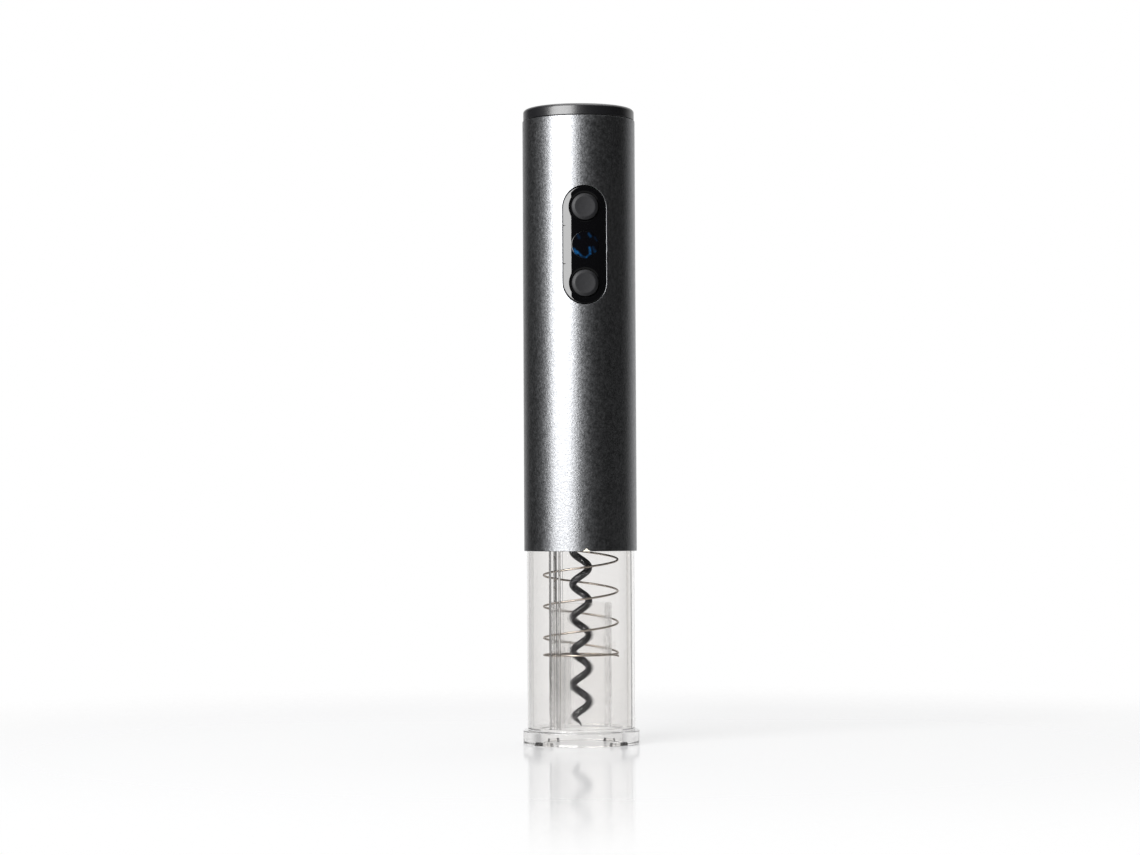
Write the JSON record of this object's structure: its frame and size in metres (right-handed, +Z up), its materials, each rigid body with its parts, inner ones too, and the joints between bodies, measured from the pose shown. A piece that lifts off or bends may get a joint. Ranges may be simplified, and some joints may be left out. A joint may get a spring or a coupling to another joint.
{
  "type": "electric wine opener",
  "caption": "Tubular cordless wine opener: metal body with two-button panel, clear telescoping sleeve with cork guide, return spring and motor-driven worm.",
  "frame": {"origin": "centre of the clear sleeve's bottom ring, on the surface that the opener stands on", "axes": "+Z up along the tube's axis, -Y the front with the control panel, +X to the right seen from the front"},
  "size_m": [0.0454, 0.0454, 0.248],
  "materials": {
    "gunmetal_aluminium": "anodised, fine bead blasted, satin",
    "satin_black_abs": "satin moulded",
    "gloss_black_acrylic": "polished",
    "soft_grey_rubber": "soft touch, matt",
    "clear_polycarbonate": "clear, polished",
    "coated_steel": "non-stick coated, semi-gloss",
    "spring_steel": "bright drawn wire",
    "gear_nylon": "moulded",
    "cell_wrap": "shrink-wrapped cell; aluminium's density is close to a lithium cell's",
    "nickel_plate": "nickel plated",
    "sintered_bronze": "sintered",
    "circuit_board": "solder mask",
    "blue_led": "lit blue",
    "moulded_black_abs": "moulded",
    "red_insulation": "extruded",
    "black_insulation": "extruded",
    "ferrite": "sintered",
    "plated_steel": "zinc plated"
  },
  "bodies": {
    "body": {"body_tube": "gunmetal_aluminium", "top_cap": "satin_black_abs", "panel_bezel": "gloss_black_acrylic", "indicator_lens": "gloss_black_acrylic", "light_guide": "clear_polycarbonate", "control_board": "circuit_board", "status_led_1": "blue_led", "status_led_2": "blue_led", "status_led_3": "blue_led", "status_led_4": "blue_led", "status_led_5": "blue_led", "status_led_6": "blue_led", "touch_switch_up": "moulded_black_abs", "touch_switch_down": "moulded_black_abs", "shell_front": "moulded_black_abs", "shell_rear": "moulded_black_abs", "shell_screw_left_lower": "plated_steel", "shell_screw_left_upper": "plated_steel", "shell_screw_right_lower": "plated_steel", "shell_screw_right_upper": "plated_steel", "cell_left": "cell_wrap", "cell_right": "cell_wrap", "cell_contact_lower": "nickel_plate", "cell_contact_upper": "nickel_plate", "port_bezel": "moulded_black_abs", "charging_socket": "nickel_plate", "charging_board": "circuit_board", "motor_can": "plated_steel", "motor_endbell": "moulded_black_abs", "motor_magnet_left": "ferrite", "motor_magnet_right": "ferrite", "motor_lead_positive": "red_insulation", "motor_lead_negative": "black_insulation", "ring_gear": "gear_nylon", "gearbox_cover": "plated_steel", "gearbox_screw_1": "plated_steel", "gearbox_screw_2": "plated_steel", "gearbox_screw_3": "plated_steel", "output_bush": "sintered_bronze", "lower_frame": "moulded_black_abs", "sleeve_stop_ring": "gear_nylon", "spring_washer": "plated_steel", "return_spring": "spring_steel"},
    "sleeve": {"clear_sleeve": "clear_polycarbonate", "cork_guide": "clear_polycarbonate"},
    "worm_drive": {"worm": "coated_steel", "worm_chuck": "plated_steel", "carrier_output": "plated_steel"},
    "first_carrier": {"carrier_first": "plated_steel"},
    "rotor": {"motor_rotor": "plated_steel"},
    "up_button": {"button_up": "soft_grey_rubber"},
    "down_button": {"button_down": "soft_grey_rubber"},
    "output_planet_1": {"planet_output_1": "gear_nylon"},
    "output_planet_2": {"planet_output_2": "gear_nylon"},
    "output_planet_3": {"planet_output_3": "gear_nylon"},
    "first_planet_1": {"planet_first_1": "gear_nylon"},
    "first_planet_2": {"planet_first_2": "gear_nylon"},
    "first_planet_3": {"planet_first_3": "gear_nylon"}
  },
  "joints": [
    {"name": "sleeve_slide", "type": "slide", "parent": "body", "child": "sleeve", "axis": [0, 0, 1], "range_m": [0, 0.05], "stiffness_N_per_m": 80, "springref_m": -0.09, "deforming": ["return_spring"]},
    {"name": "worm_spin", "type": "hinge", "parent": "body", "child": "worm_drive", "pos_m": [0, 0, 0.1], "axis": [0, 0, 1], "continuous": true},
    {"name": "first_carrier_spin", "type": "hinge", "parent": "body", "child": "first_carrier", "pos_m": [0, 0, 0.128], "axis": [0, 0, 1], "continuous": true},
    {"name": "rotor_spin", "type": "hinge", "parent": "body", "child": "rotor", "pos_m": [0, 0, 0.16], "axis": [0, 0, 1], "continuous": true},
    {"name": "up_button_press", "type": "slide", "parent": "body", "child": "up_button", "axis": [0, 1, 0], "range_m": [0, 0.0008], "stiffness_N_per_m": 600, "springref_m": -0.001},
    {"name": "down_button_press", "type": "slide", "parent": "body", "child": "down_button", "axis": [0, 1, 0], "range_m": [0, 0.0008], "stiffness_N_per_m": 600, "springref_m": -0.001},
    {"name": "output_planet_1_spin", "type": "hinge", "parent": "worm_drive", "child": "output_planet_1", "pos_m": [0.00743, 0, 0.1243], "axis": [0, 0, 1], "continuous": true},
    {"name": "output_planet_2_spin", "type": "hinge", "parent": "worm_drive", "child": "output_planet_2", "pos_m": [-0.00371, 0.00643, 0.1243], "axis": [0, 0, 1], "continuous": true},
    {"name": "output_planet_3_spin", "type": "hinge", "parent": "worm_drive", "child": "output_planet_3", "pos_m": [-0.00371, -0.00643, 0.1243], "axis": [0, 0, 1], "continuous": true},
    {"name": "first_planet_1_spin", "type": "hinge", "parent": "first_carrier", "child": "first_planet_1", "pos_m": [0.00743, 0, 0.1355], "axis": [0, 0, 1], "continuous": true},
    {"name": "first_planet_2_spin", "type": "hinge", "parent": "first_carrier", "child": "first_planet_2", "pos_m": [-0.00371, 0.00643, 0.1355], "axis": [0, 0, 1], "continuous": true},
    {"name": "first_planet_3_spin", "type": "hinge", "parent": "first_carrier", "child": "first_planet_3", "pos_m": [-0.00371, -0.00643, 0.1355], "axis": [0, 0, 1], "continuous": true}
  ],
  "couplings": [
    {"joint": "first_carrier_spin", "follows": "worm_spin", "ratio": 4.5},
    {"joint": "rotor_spin", "follows": "worm_spin", "ratio": 20.25},
    {"joint": "output_planet_1_spin", "follows": "worm_spin", "ratio": -2.8},
    {"joint": "output_planet_2_spin", "follows": "worm_spin", "ratio": -2.8},
    {"joint": "output_planet_3_spin", "follows": "worm_spin", "ratio": -2.8},
    {"joint": "first_planet_1_spin", "follows": "worm_spin", "ratio": -12.6},
    {"joint": "first_planet_2_spin", "follows": "worm_spin", "ratio": -12.6},
    {"joint": "first_planet_3_spin", "follows": "worm_spin", "ratio": -12.6}
  ]
}
